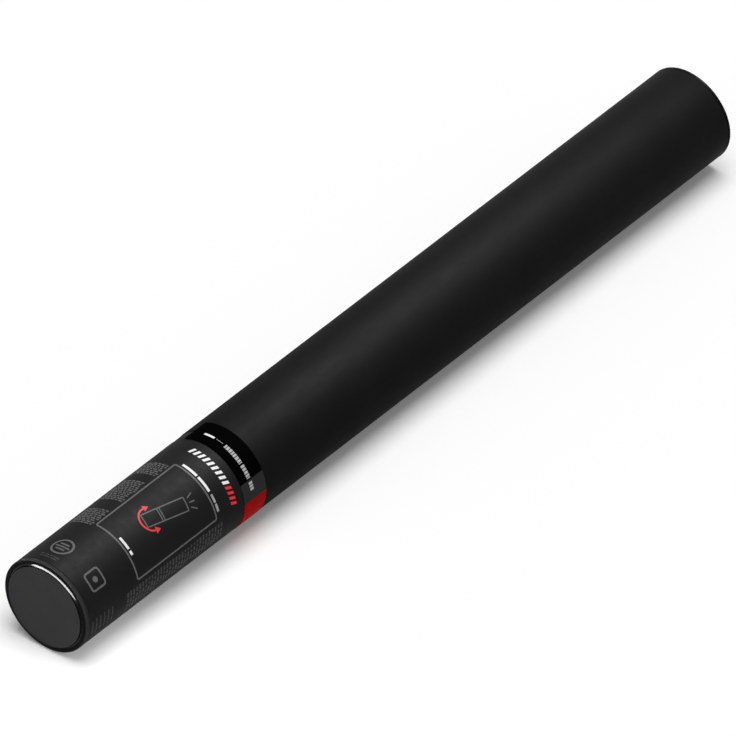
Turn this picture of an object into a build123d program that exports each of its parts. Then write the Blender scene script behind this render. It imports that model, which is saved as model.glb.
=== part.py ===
from build123d import *
import math
import os

# Twist-release confetti popper, lying on its side: a board barrel with a twist grip at its base.
# A gas bottle and a ball-lock valve sit inside the grip, and packs of foil slips fill the barrel.
# Millimetres and degrees. Pieces are drawn on the X axis with the base face at station 0, and are
# then moved so that the origin lies on the floor under the middle of the tube.
# Angles round the tube are counted from +Y towards +Z.

# Barrel, a wound board tube
BARREL_DIAMETER = 52.0
BARREL_WALL = 2.0
BARREL_LENGTH = 368.0

# Handle, the board tube that the hand twists, and its printed wrap
HANDLE_LENGTH = 127.0
HANDLE_WALL = 1.8
HANDLE_STEP = 0.2
TWIST_GAP = 0.4
TWIST_ANGLE = 60.0
LABEL_MARGIN = 0.4
LABEL_THICKNESS = 0.12
LABEL_SEAM_ANGLE = 300.0
LABEL_SEAM_GAP_ANGLE = 1.5

# Base cap in the handle's end, and the felt pad behind the bottle
BASE_FLANGE = 3.0
BASE_BOSS_INSET = 2.3
BASE_BOSS_HEIGHT = 1.1
BASE_BOSS_SLOPE = 1.1
BASE_EDGE_CHAMFER = 0.6
BASE_SKIRT_LENGTH = 11.0
BASE_SKIRT_WALL = 2.0
BASE_RIB_COUNT = 6
BASE_RIB_WIDTH = 1.6
BASE_RIB_HEIGHT = 3.0
PAD_THICKNESS = 7.0
PAD_HOLE_DIAMETER = 14.0
PAD_CHAMFER = 1.0

# Safety strip across the twist joint
STRIP_WIDTH = 16.5
STRIP_HANDLE_REACH = 8.4
STRIP_THICKNESS = 0.12
STRIP_START_ANGLE = 62.0
STRIP_ARC_ANGLE = 172.0

# Muzzle cap, a push-in plug
MUZZLE_FLANGE = 1.5
MUZZLE_CHAMFER = 0.4
MUZZLE_SKIRT_LENGTH = 10.0
MUZZLE_SKIRT_WALL = 1.6
MUZZLE_SKIRT_TAPER = 0.5
MUZZLE_RECESS = 5.0
MUZZLE_FLOOR = 1.6

# Load: foil slips in packs, between a felt wad and a card disc
SLIP_LENGTH = 55.0
SLIP_WIDTH = 17.0
PACK_COLUMNS = 2
PACK_ROWS = 3
TIER_COUNT = 3
PACK_GAP = 0.3
PACK_CORNER_CLEARANCE = 0.7
WAD_THICKNESS = 10.0
WAD_CHAMFER = 0.8
DISC_THICKNESS = 1.2

# Ball lock: neck, stopper, balls and the ramps of the collar
BALL_COUNT = 3
BALL_DIAMETER = 5.0
BALL_BITE = 2.2
BALL_FIRST_ANGLE = 90.0
NECK_BORE_DIAMETER = 18.4
STOPPER_CLEARANCE = 0.2
STOPPER_TRAVEL = 8.0
LIFT_CLEARANCE = 0.1
HEAD_LAND = 1.5
FRONT_LAND = 3.0
FLUTE_DIAMETER = 4.8
FLUTE_OFFSET = 0.4
SEAL_LAND_DIAMETER = 16.0
SEAL_SECTION = 2.0
SEAL_GROOVE_WIDTH = 2.4
SEAL_WEB = 1.2
SEAL_COUNT = 2

# Valve neck, its snap ring, gasket and thrust washer
NECK_ENGAGEMENT = 5.5
NECK_FLANGE = 4.0
NECK_FLANGE_LIP = 2.0
NECK_SHOULDER = 2.3
SPIGOT_LENGTH = 8.5
SPIGOT_WALL = 1.9
GASKET_THICKNESS = 1.5
SNAP_RING_THICKNESS = 1.0
SNAP_RING_WIDTH = 3.0
SNAP_RING_GAP_ANGLE = 50.0
SNAP_GROOVE_DEPTH = 1.0
WASHER_THICKNESS = 1.0
WASHER_WIDTH = 3.5

# Release collar, glued in the handle
COLLAR_LENGTH = 12.6
COLLAR_HUB_WALL = 2.5
COLLAR_RIM_WALL = 2.0
COLLAR_WEB = 3.0
COLLAR_RIB_COUNT = 6
COLLAR_RIB_WIDTH = 2.0
POCKET_MARGIN = 0.6

# Breech block, glued in the barrel
BREECH_RIM_LENGTH = 19.6
BREECH_RIM_WALL = 2.4
BREECH_WEB = 3.0
BREECH_HUB_WALL = 4.0
BREECH_HUB_REACH = 7.9
BREECH_JOURNAL_LENGTH = 3.0
BREECH_RIB_COUNT = 6
BREECH_RIB_WIDTH = 2.0
BREECH_CHAMFER = 0.6
SPIDER_ARMS = 3
SPIDER_ARM_WIDTH = 3.0
SPIDER_THICKNESS = 4.0
SPIDER_PAD_DIAMETER = 9.0
BUFFER_THICKNESS = 1.5
BREECH_SEAL_WIDTH = 2.4
BREECH_SEAL_DEPTH = 1.2

# Gas bottle, pressed from aluminium, with its filling plug
BOTTLE_CLEARANCE = 1.5
BOTTLE_WALL = 1.2
BOTTLE_BASE_THICKNESS = 2.0
BOTTLE_FOOT_WIDTH = 3.5
BOTTLE_FOOT_CHAMFER = 1.5
BOTTLE_DOME_DEPTH = 5.0
BOTTLE_NECK_LENGTH = 9.0
BOTTLE_NECK_WALL = 2.2
BOTTLE_SHOULDER_LENGTH = 10.0
PLUG_DIAMETER = 5.0
PLUG_HEAD_DIAMETER = 8.0
PLUG_HEAD_THICKNESS = 1.4

# Fits: glued joint, running fit, loose gap between moving pieces, seated faces, push-in cap
GLUE_LINE = 0.05
RUNNING_FIT = 0.05
FREE_GAP = 0.3
SEAL_FIT = 0.03
CAP_FIT = 0.1
CAP_SEAT_GAP = 0.1
OVERRUN = 1.0

# Shares of a size, chosen by hand
GROOVE_FLOOR_SHARE = 0.5
DOME_ARC_SHARE = 0.5

# Radii of the tubes and of what is glued or turns in them
barrel_radius = BARREL_DIAMETER / 2
bore_radius = barrel_radius - BARREL_WALL
handle_radius = barrel_radius - HANDLE_STEP
handle_bore_radius = handle_radius - HANDLE_WALL
glued_handle_radius = handle_bore_radius - GLUE_LINE
glued_barrel_radius = bore_radius - GLUE_LINE
loose_bore_radius = bore_radius - FREE_GAP

# Radii of the ball lock
ball_radius = BALL_DIAMETER / 2
neck_bore_radius = NECK_BORE_DIAMETER / 2
neck_radius = neck_bore_radius + BALL_DIAMETER - BALL_BITE
collar_bore_radius = neck_radius + RUNNING_FIT
stopper_radius = neck_bore_radius - STOPPER_CLEARANCE
ball_rest_radius = neck_radius - ball_radius
ball_lift = stopper_radius + LIFT_CLEARANCE - (ball_rest_radius - ball_radius)
ramp_slope = ball_lift / STOPPER_TRAVEL
ball_seat_offset = (ball_radius + RUNNING_FIT) * math.hypot(1, ramp_slope)
groove_radius = ball_rest_radius - ball_seat_offset
pocket_radius = collar_bore_radius + ball_lift + LIFT_CLEARANCE
pocket_overrun_angle = math.degrees(math.asin((ball_radius + FREE_GAP) / neck_radius))
seal_land_radius = SEAL_LAND_DIAMETER / 2
stopper_seal_radius = seal_land_radius - LIFT_CLEARANCE
seal_outer_radius = seal_land_radius - SEAL_FIT
seal_inner_radius = seal_outer_radius - SEAL_SECTION

# Stations along the tube, counted from the base face
handle_start = BASE_FLANGE
handle_end = handle_start + HANDLE_LENGTH
barrel_start = handle_end + TWIST_GAP
barrel_end = barrel_start + BARREL_LENGTH
cap_seat = barrel_end + CAP_SEAT_GAP
overall_length = cap_seat + MUZZLE_FLANGE
strip_start = handle_end - STRIP_HANDLE_REACH
label_start = handle_start + LABEL_MARGIN
label_end = strip_start

# Stations of the lock, worked back from the breech
hub_rear = barrel_start - BREECH_HUB_REACH
neck_front = hub_rear + NECK_ENGAGEMENT
washer_rear = hub_rear - WASHER_THICKNESS
collar_front = washer_rear - FREE_GAP
collar_rear = collar_front - COLLAR_LENGTH
snap_front = collar_rear - FREE_GAP
snap_rear = snap_front - SNAP_RING_THICKNESS
neck_flange_front = snap_rear - NECK_SHOULDER
neck_flange_rear = neck_flange_front - NECK_FLANGE
bottle_lip = neck_flange_rear - GASKET_THICKNESS
neck_rear = bottle_lip - SPIGOT_LENGTH
ball_station = (collar_front + collar_rear) / 2

# Stations of the stopper, worked out from the balls
ramp_top = ball_station - (stopper_radius - groove_radius) / ramp_slope
head_rear = ramp_top - HEAD_LAND
seal_land_end = head_rear - FREE_GAP
stopper_rear = head_rear - SEAL_WEB - SEAL_COUNT * (SEAL_GROOVE_WIDTH + SEAL_WEB)
groove_floor_end = ball_station + ball_radius * GROOVE_FLOOR_SHARE
groove_flank_end = groove_floor_end + stopper_radius - groove_radius
stopper_front = groove_flank_end + FRONT_LAND
buffer_rear = stopper_front + STOPPER_TRAVEL + FREE_GAP
spider_rear = buffer_rear + BUFFER_THICKNESS
hub_front = spider_rear + SPIDER_THICKNESS
breech_front = barrel_start + BREECH_RIM_LENGTH

# Stations and radii of the bottle, between the pad and the neck
pad_front = handle_start + BASE_RIB_HEIGHT + PAD_THICKNESS
bottle_rear = pad_front + FREE_GAP
skirt_inner_radius = glued_handle_radius - BASE_SKIRT_WALL
bottle_radius = skirt_inner_radius - BOTTLE_CLEARANCE
spigot_radius = seal_land_radius + SPIGOT_WALL
mouth_radius = spigot_radius + GLUE_LINE
bottle_neck_radius = mouth_radius + BOTTLE_NECK_WALL
bottle_neck_rear = bottle_lip - BOTTLE_NECK_LENGTH
shoulder_start = bottle_neck_rear - BOTTLE_SHOULDER_LENGTH
bottle_foot_radius = bottle_radius - BOTTLE_FOOT_WIDTH
plug_radius = PLUG_DIAMETER / 2

# Stations of the load
wad_start = breech_front + FREE_GAP
wad_end = wad_start + WAD_THICKNESS
tier_pitch = SLIP_LENGTH + PACK_GAP
first_tier_start = wad_end + PACK_GAP
disc_start = first_tier_start + TIER_COUNT * tier_pitch


def turned(*points):
    """Solid of revolution about X from a closed outline of (station, radius) points."""
    return revolve(make_face(Polyline(*points, close=True)), Axis.X)


def tube(start, end, inner_radius, outer_radius):
    """Plain ring or tube on the X axis."""
    return turned((start, inner_radius), (end, inner_radius), (end, outer_radius), (start, outer_radius))


def rod(start, end, radius):
    """Plain solid cylinder on the X axis."""
    return turned((start, 0), (end, 0), (end, radius), (start, radius))


def split_ring(start, end, inner_radius, outer_radius, first_angle, arc_angle):
    """Part of a ring, from first_angle round the X axis through arc_angle."""
    corners = [(start, inner_radius), (end, inner_radius), (end, outer_radius), (start, outer_radius)]
    section = make_face(Polyline(*corners, close=True))
    return Rot(X=first_angle) * revolve(section, Axis.X, arc_angle)


def radial_ribs(count, width, start, end, inner_radius, outer_radius):
    """Flat ribs round the X axis, each from inner_radius to outer_radius."""
    middle = Pos((start + end) / 2, (inner_radius + outer_radius) / 2, 0)
    rib = middle * Box(end - start, outer_radius - inner_radius, width)
    return [Rot(X=index * 360 / count) * rib for index in range(count)]


def outer_edges_at(shape, station):
    """The widest circular edge of a turned piece at a station."""
    circles = shape.edges().filter_by(GeomType.CIRCLE)
    return circles.filter_by_position(Axis.X, station, station).sort_by(SortBy.RADIUS)[-1:]


def polar(radius, angle):
    """Point in a cross-section, from +Y towards +Z."""
    return (radius * math.cos(math.radians(angle)), radius * math.sin(math.radians(angle)))


def cross_section(station):
    """Sketch plane square to the tube, with its x along +Y and its y along +Z."""
    return Plane(origin=(station, 0, 0), x_dir=(0, 1, 0), z_dir=(1, 0, 0))


def ball_angle(index):
    return BALL_FIRST_ANGLE + index * 360 / BALL_COUNT


def barrel_tube():
    return tube(barrel_start, barrel_end, bore_radius, barrel_radius)


def handle_tube():
    return tube(handle_start, handle_end, handle_bore_radius, handle_radius)


def grip_label():
    """Printed wrap from the base cap up to the strip, with a narrow seam on the far side."""
    inner_radius = handle_radius + SEAL_FIT
    first_angle = LABEL_SEAM_ANGLE + LABEL_SEAM_GAP_ANGLE / 2
    return split_ring(label_start, label_end, inner_radius, inner_radius + LABEL_THICKNESS,
                      first_angle, 360 - LABEL_SEAM_GAP_ANGLE)


def base_cap():
    """Moulded cap: flange with a sloped boss, hollow skirt glued in the handle, and ribs behind its face."""
    boss_radius = barrel_radius - BASE_BOSS_INSET
    edge_radius = barrel_radius - BASE_EDGE_CHAMFER
    outline = [(0, 0), (0, boss_radius - BASE_BOSS_SLOPE), (BASE_BOSS_HEIGHT, boss_radius)]
    outline += [(BASE_BOSS_HEIGHT, edge_radius), (BASE_BOSS_HEIGHT + BASE_EDGE_CHAMFER, barrel_radius)]
    outline += [(handle_start, barrel_radius), (handle_start, 0)]
    cap = turned(*outline)
    cap += tube(handle_start, handle_start + BASE_SKIRT_LENGTH, skirt_inner_radius, glued_handle_radius)
    rib_front = handle_start + BASE_RIB_HEIGHT
    cap += radial_ribs(BASE_RIB_COUNT, BASE_RIB_WIDTH, handle_start, rib_front, 0, skirt_inner_radius)
    return cap


def base_pad():
    """Felt ring on the cap's ribs, which keeps the bottle from knocking."""
    pad_rear = handle_start + BASE_RIB_HEIGHT
    pad = tube(pad_rear, pad_front, PAD_HOLE_DIAMETER / 2, skirt_inner_radius - FREE_GAP)
    return chamfer(outer_edges_at(pad, pad_front), PAD_CHAMFER)


def safety_strip():
    """Pull-off strip, stuck over the joint round a little under half of the tube."""
    inner_radius = barrel_radius + SEAL_FIT
    return split_ring(strip_start, strip_start + STRIP_WIDTH, inner_radius, inner_radius + STRIP_THICKNESS,
                      STRIP_START_ANGLE, STRIP_ARC_ANGLE)


def muzzle_cap():
    """Push-in plug: thin flange, tapered skirt and a floor set back from the mouth."""
    skirt_radius = bore_radius - CAP_FIT
    recess_radius = skirt_radius - MUZZLE_SKIRT_WALL
    skirt_end = cap_seat - MUZZLE_SKIRT_LENGTH
    floor_front = overall_length - MUZZLE_RECESS
    outline = [(skirt_end, recess_radius - MUZZLE_SKIRT_TAPER)]
    outline += [(skirt_end, skirt_radius - MUZZLE_SKIRT_TAPER), (cap_seat, skirt_radius)]
    outline += [(cap_seat, barrel_radius), (overall_length, barrel_radius)]
    outline += [(overall_length, recess_radius), (floor_front, recess_radius)]
    cap = turned(*outline)
    cap += rod(floor_front - MUZZLE_FLOOR, floor_front, recess_radius)
    return chamfer(outer_edges_at(cap, overall_length), MUZZLE_CHAMFER)


def valve_neck():
    """Turned neck on the bottle: spigot, flange, seal land, relief bore and ball holes."""
    flange_radius = neck_radius + NECK_FLANGE_LIP
    neck = rod(neck_rear, neck_flange_rear, spigot_radius)
    neck += rod(neck_flange_rear, neck_flange_front, flange_radius)
    neck += rod(neck_flange_front, neck_front, neck_radius)
    neck -= rod(neck_rear - OVERRUN, seal_land_end, seal_land_radius)
    neck -= rod(seal_land_end, neck_front + OVERRUN, neck_bore_radius)
    neck -= tube(snap_rear - SEAL_FIT, snap_front + SEAL_FIT, neck_radius - SNAP_GROOVE_DEPTH, flange_radius)
    for index in range(BALL_COUNT):
        upright = (Align.CENTER, Align.CENTER, Align.MIN)
        hole = Cylinder(ball_radius + RUNNING_FIT, flange_radius, align=upright)
        neck -= Pos(ball_station, 0, 0) * Rot(X=ball_angle(index) - BALL_FIRST_ANGLE) * hole
    return neck


def neck_gasket():
    return tube(bottle_lip, neck_flange_rear, mouth_radius, bottle_neck_radius)


def snap_ring():
    """Open spring ring in the neck's groove, behind the collar."""
    inner_radius = neck_radius - SNAP_GROOVE_DEPTH + SEAL_FIT
    return split_ring(snap_rear, snap_front, inner_radius, inner_radius + SNAP_RING_WIDTH,
                      SNAP_RING_GAP_ANGLE / 2, 360 - SNAP_RING_GAP_ANGLE)


def thrust_washer():
    return tube(washer_rear, hub_rear, collar_bore_radius, collar_bore_radius + WASHER_WIDTH)


def stopper():
    """Plunger: seal grooves at the rear, a long ramp behind the balls, and gas flutes between them."""
    outline = [(stopper_rear, 0), (stopper_rear, stopper_seal_radius)]
    for index in range(SEAL_COUNT):
        groove = seal_groove_start(index)
        outline.append((groove, stopper_seal_radius))
        outline.append((groove, seal_inner_radius - SEAL_FIT))
        outline.append((groove + SEAL_GROOVE_WIDTH, seal_inner_radius - SEAL_FIT))
        outline.append((groove + SEAL_GROOVE_WIDTH, stopper_seal_radius))
    outline += [(head_rear, stopper_seal_radius), (head_rear, stopper_radius), (ramp_top, stopper_radius)]
    outline += [(ball_station, groove_radius), (groove_floor_end, groove_radius)]
    outline += [(groove_flank_end, stopper_radius), (stopper_front, stopper_radius), (stopper_front, 0)]
    plunger = turned(*outline)
    flute = rod(head_rear, stopper_front + OVERRUN, FLUTE_DIAMETER / 2)
    for index in range(BALL_COUNT):
        between_balls = ball_angle(index) + 180 / BALL_COUNT
        plunger -= Rot(X=between_balls) * Pos(0, stopper_radius + FLUTE_OFFSET, 0) * flute
    return plunger


def seal_groove_start(index):
    return stopper_rear + SEAL_WEB + index * (SEAL_GROOVE_WIDTH + SEAL_WEB)


def stopper_seals():
    """Square-cut rubber rings, one in each groove of the stopper."""
    side_gap = (SEAL_GROOVE_WIDTH - SEAL_SECTION) / 2
    rings = []
    for index in range(SEAL_COUNT):
        start = seal_groove_start(index) + side_gap
        rings.append(tube(start, start + SEAL_SECTION, seal_inner_radius, seal_outer_radius))
    return Compound(children=rings)


def lock_ball(index):
    across, up = polar(ball_rest_radius, ball_angle(index))
    return Pos(ball_station, across, up) * Sphere(ball_radius)


def collar_cam():
    """Opening of the collar: from each ball a spiral ramp runs out to a pocket, then steps back in."""
    edges = []
    for index in range(BALL_COUNT):
        start = ball_angle(index)
        ramp_end = start - TWIST_ANGLE
        pocket_end = ramp_end - pocket_overrun_angle
        next_start = start - 360 / BALL_COUNT
        ramp_middle_radius = (collar_bore_radius + pocket_radius) / 2
        edges.append(ThreePointArc(polar(collar_bore_radius, start),
                                   polar(ramp_middle_radius, start - TWIST_ANGLE / 2),
                                   polar(pocket_radius, ramp_end)))
        edges.append(ThreePointArc(polar(pocket_radius, ramp_end),
                                   polar(pocket_radius, (ramp_end + pocket_end) / 2),
                                   polar(pocket_radius, pocket_end)))
        edges.append(Line(polar(pocket_radius, pocket_end), polar(collar_bore_radius, pocket_end)))
        edges.append(ThreePointArc(polar(collar_bore_radius, pocket_end),
                                   polar(collar_bore_radius, (pocket_end + next_start) / 2),
                                   polar(collar_bore_radius, next_start)))
    return make_face(edges)


def release_collar():
    """Collar glued in the handle: ramped hub round the balls, web, ribs and rim."""
    hub_radius = pocket_radius + COLLAR_HUB_WALL
    rim_inner_radius = glued_handle_radius - COLLAR_RIM_WALL
    pocket_front = ball_station + ball_radius + POCKET_MARGIN
    collar = rod(collar_rear, collar_front, hub_radius)
    collar += tube(collar_rear, collar_front, rim_inner_radius, glued_handle_radius)
    collar += tube(collar_front - COLLAR_WEB, collar_front, hub_radius, rim_inner_radius)
    rib_inner_radius = (collar_bore_radius + hub_radius) / 2 + COLLAR_HUB_WALL / 2
    collar += radial_ribs(COLLAR_RIB_COUNT, COLLAR_RIB_WIDTH, collar_rear, collar_front,
                          rib_inner_radius, (rim_inner_radius + glued_handle_radius) / 2)
    collar -= rod(collar_rear - OVERRUN, collar_front + OVERRUN, collar_bore_radius)
    pocket_rear = collar_rear - OVERRUN
    return collar - extrude(cross_section(pocket_rear) * collar_cam(), pocket_front - pocket_rear)


def breech_block():
    """Moulding glued in the barrel: rim, web, hub on the neck, and a spider that stops the plunger."""
    hub_radius = collar_bore_radius + BREECH_HUB_WALL
    rim_inner_radius = glued_barrel_radius - BREECH_RIM_WALL
    journal_radius = handle_bore_radius - FREE_GAP
    web_front = barrel_start + BREECH_WEB
    block = rod(hub_rear, hub_front, hub_radius)
    block += tube(barrel_start, web_front, hub_radius, glued_barrel_radius)
    block += tube(barrel_start, breech_front, rim_inner_radius, glued_barrel_radius)
    block += tube(barrel_start - BREECH_JOURNAL_LENGTH, barrel_start,
                  journal_radius - BREECH_RIM_WALL, journal_radius)
    block += radial_ribs(BREECH_RIB_COUNT, BREECH_RIB_WIDTH, web_front, hub_front,
                         hub_radius - BREECH_HUB_WALL / 2, rim_inner_radius + BREECH_RIM_WALL / 2)
    block -= rod(hub_rear - OVERRUN, neck_front, collar_bore_radius)
    block -= rod(neck_front, hub_front + OVERRUN, neck_bore_radius)
    block += rod(spider_rear, hub_front, SPIDER_PAD_DIAMETER / 2)
    block += radial_ribs(SPIDER_ARMS, SPIDER_ARM_WIDTH, spider_rear, hub_front,
                         0, neck_bore_radius + BREECH_HUB_WALL / 2)
    seal_start, seal_end = breech_seal_span()
    block -= tube(seal_start, seal_end, glued_barrel_radius - BREECH_SEAL_DEPTH, barrel_radius)
    return chamfer(outer_edges_at(block, breech_front), BREECH_CHAMFER)


def breech_seal_span():
    """Start and end of the seal's groove, half way along the rim in front of the web."""
    middle = (barrel_start + BREECH_WEB + breech_front) / 2
    return middle - BREECH_SEAL_WIDTH / 2, middle + BREECH_SEAL_WIDTH / 2


def breech_seal():
    start, end = breech_seal_span()
    inner_radius = glued_barrel_radius - BREECH_SEAL_DEPTH + SEAL_FIT
    return tube(start + SEAL_FIT, end - SEAL_FIT, inner_radius, bore_radius - SEAL_FIT)


def stop_buffer():
    return rod(buffer_rear, spider_rear, SPIDER_PAD_DIAMETER / 2)


def domed_end(station):
    """Half of the bottle's dished base, from the axis out to its foot."""
    arc_radius = (bottle_foot_radius ** 2 + BOTTLE_DOME_DEPTH ** 2) / (2 * BOTTLE_DOME_DEPTH)
    middle_radius = bottle_foot_radius * DOME_ARC_SHARE
    middle_drop = arc_radius - math.sqrt(arc_radius ** 2 - middle_radius ** 2)
    top = station + BOTTLE_DOME_DEPTH
    return ThreePointArc((top, 0), (top - middle_drop, middle_radius), (station, bottle_foot_radius))


def bottle_form(rear, side_radius, neck_side_radius, shoulder_end, front):
    """Turned form of the bottle, used for its outside and for its inside."""
    outline = [domed_end(rear)]
    outline.append(Polyline((rear, bottle_foot_radius), (rear, side_radius), (shoulder_start, side_radius),
                            (shoulder_end, neck_side_radius), (front, neck_side_radius), (front, 0),
                            (rear + BOTTLE_DOME_DEPTH, 0)))
    return revolve(make_face(outline), Axis.X)


def gas_bottle():
    """Pressed bottle: dished base, straight side, conical shoulder and thick neck."""
    bottle = bottle_form(bottle_rear, bottle_radius, bottle_neck_radius, bottle_neck_rear, bottle_lip)
    bottle = chamfer(outer_edges_at(bottle, bottle_rear), BOTTLE_FOOT_CHAMFER)
    inside_rear = bottle_rear + BOTTLE_BASE_THICKNESS
    inside_shoulder_end = bottle_neck_rear - BOTTLE_WALL
    bottle -= bottle_form(inside_rear, bottle_radius - BOTTLE_WALL, mouth_radius, inside_shoulder_end,
                          bottle_lip + OVERRUN)
    return bottle - rod(bottle_rear, bottle_lip, plug_radius + SEAL_FIT)


def fill_plug():
    """Rubber plug in the dished base, with a head on each side of the metal."""
    outside = bottle_rear + BOTTLE_DOME_DEPTH
    inside = outside + BOTTLE_BASE_THICKNESS
    head_radius = PLUG_HEAD_DIAMETER / 2
    plug = rod(outside - PLUG_HEAD_THICKNESS, inside + PLUG_HEAD_THICKNESS, plug_radius)
    plug += rod(outside - PLUG_HEAD_THICKNESS, outside - FREE_GAP, head_radius)
    plug += rod(inside + SEAL_FIT, inside + PLUG_HEAD_THICKNESS, head_radius)
    return plug


def wad():
    """Felt pusher between the breech and the load."""
    pusher = rod(wad_start, wad_end, loose_bore_radius)
    edges = outer_edges_at(pusher, wad_start) + outer_edges_at(pusher, wad_end)
    return chamfer(edges, WAD_CHAMFER)


def confetti_tier(index):
    """Packs of slips side by side and stacked, with their corners just inside the bore."""
    half_width = (PACK_COLUMNS * SLIP_WIDTH + (PACK_COLUMNS - 1) * PACK_GAP) / 2
    half_height = math.sqrt((bore_radius - PACK_CORNER_CLEARANCE) ** 2 - half_width ** 2)
    pack_height = (2 * half_height - (PACK_ROWS - 1) * PACK_GAP) / PACK_ROWS
    pack = Box(SLIP_LENGTH, SLIP_WIDTH, pack_height)
    middle = first_tier_start + index * tier_pitch + SLIP_LENGTH / 2
    packs = []
    for column in range(PACK_COLUMNS):
        across = column * (SLIP_WIDTH + PACK_GAP) + SLIP_WIDTH / 2 - half_width
        for row in range(PACK_ROWS):
            up = row * (pack_height + PACK_GAP) + pack_height / 2 - half_height
            packs.append(Pos(middle, across, up) * pack)
    return Compound(children=packs)


def top_disc():
    return rod(disc_start, disc_start + DISC_THICKNESS, loose_bore_radius)


pieces = {
    "barrel_tube": barrel_tube(),
    "handle_tube": handle_tube(),
    "grip_label": grip_label(),
    "base_cap": base_cap(),
    "base_pad": base_pad(),
    "safety_strip": safety_strip(),
    "muzzle_cap": muzzle_cap(),
    "valve_neck": valve_neck(),
    "neck_gasket": neck_gasket(),
    "snap_ring": snap_ring(),
    "thrust_washer": thrust_washer(),
    "stopper": stopper(),
    "stopper_seals": stopper_seals(),
    "release_collar": release_collar(),
    "breech_block": breech_block(),
    "breech_seal": breech_seal(),
    "stop_buffer": stop_buffer(),
    "gas_bottle": gas_bottle(),
    "fill_plug": fill_plug(),
    "wad": wad(),
    "top_disc": top_disc(),
}
for ball_index in range(BALL_COUNT):
    pieces[f"lock_ball_{ball_index + 1}"] = lock_ball(ball_index)
for tier_index in range(TIER_COUNT):
    pieces[f"confetti_tier_{tier_index + 1}"] = confetti_tier(tier_index)

os.makedirs("parts", exist_ok=True)
on_the_floor = Pos(-overall_length / 2, 0, barrel_radius)
for node, shape in pieces.items():
    export_step(on_the_floor * shape, f"parts/{node}.step")
print(f"overall length {overall_length:.2f}, ball lift {ball_lift:.3f}, lock at {ball_station:.2f}")
print(f"bottle {bottle_rear:.1f} to {bottle_lip:.1f}, breech front {breech_front:.1f}, disc {disc_start:.1f}")
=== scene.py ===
import bpy
import math
import random
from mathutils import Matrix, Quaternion, Vector


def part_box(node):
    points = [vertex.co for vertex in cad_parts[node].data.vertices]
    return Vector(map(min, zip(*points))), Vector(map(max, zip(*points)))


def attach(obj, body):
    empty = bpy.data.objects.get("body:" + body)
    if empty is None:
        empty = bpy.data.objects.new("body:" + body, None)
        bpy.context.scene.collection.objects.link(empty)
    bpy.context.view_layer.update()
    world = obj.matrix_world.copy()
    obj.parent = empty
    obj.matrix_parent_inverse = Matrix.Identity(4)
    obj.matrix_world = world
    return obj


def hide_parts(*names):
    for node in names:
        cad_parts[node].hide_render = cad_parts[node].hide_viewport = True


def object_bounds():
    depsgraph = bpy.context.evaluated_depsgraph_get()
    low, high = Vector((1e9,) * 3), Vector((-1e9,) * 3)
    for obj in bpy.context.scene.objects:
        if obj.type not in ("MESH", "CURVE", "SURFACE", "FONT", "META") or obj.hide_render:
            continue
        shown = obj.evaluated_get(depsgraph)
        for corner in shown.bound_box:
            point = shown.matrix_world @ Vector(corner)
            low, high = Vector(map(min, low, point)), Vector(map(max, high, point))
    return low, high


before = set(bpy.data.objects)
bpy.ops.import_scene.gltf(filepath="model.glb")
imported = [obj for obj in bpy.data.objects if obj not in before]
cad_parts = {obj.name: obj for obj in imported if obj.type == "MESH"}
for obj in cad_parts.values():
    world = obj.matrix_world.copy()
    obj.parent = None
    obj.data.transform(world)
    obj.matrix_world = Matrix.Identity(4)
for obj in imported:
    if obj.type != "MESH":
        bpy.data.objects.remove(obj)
cad_low, cad_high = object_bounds()
random.seed(50)

# The photograph's view: a very long lens that looks down on the tube from beyond its base end.
# Bearing and height come from the tube's outline and from the ellipse of its base.
# The tube's middle lies a few pixels off the picture's centre, so the aim is moved by that much.
base_end = cad_low.x
barrel_low, barrel_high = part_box("barrel_tube")
axis_height = (barrel_low.z + barrel_high.z) / 2
tube_middle = Vector(((cad_low.x + cad_high.x) / 2, 0, axis_height))
picture_pixels = 736
picture_width = 0.3609
pixel = picture_width / picture_pixels
pixels_left, pixels_up = -2.0, 10.0
lens = 1600.0
sensor = 36.0
bearing = math.radians(-50.73)
height = math.radians(38.79)
level_reach = math.cos(height)
towards_camera = Vector((math.sin(bearing) * level_reach, -math.cos(bearing) * level_reach, math.sin(height)))
looking = (-towards_camera).to_track_quat("-Z", "Y")
picture_right = looking @ Vector((1, 0, 0))
picture_up = looking @ Vector((0, 1, 0))
aim = tube_middle + picture_right * pixels_left * pixel - picture_up * pixels_up * pixel
camera_distance = picture_width * lens / sensor
bpy.ops.object.camera_add(location=aim + towards_camera * camera_distance, rotation=looking.to_euler())
camera = bpy.context.object
camera.data.lens = lens
camera.data.sensor_width = sensor
camera.data.clip_end = 100.0
bpy.context.scene.camera = camera
bpy.context.scene.view_settings.view_transform = "Standard"

# Studio light: a broad soft light overhead, a pale room, and two panels that show only as gloss. The one
# beyond the base end lights the base cap alone, for the bright arc on its rim. The one over the tube gives
# the sheen on its top.
overhead_tilt = math.radians(5.0)
overhead_spread = math.radians(44.0)
overhead_strength = 2.3
sheen_along = 0.1
room_strength = 0.22
full_white = (1, 1, 1, 1)
bpy.ops.object.light_add(type="SUN", rotation=(overhead_tilt, 0, 0))
overhead = bpy.context.object
overhead.name = "overhead_light"
overhead.data.energy = overhead_strength
overhead.data.angle = overhead_spread


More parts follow.
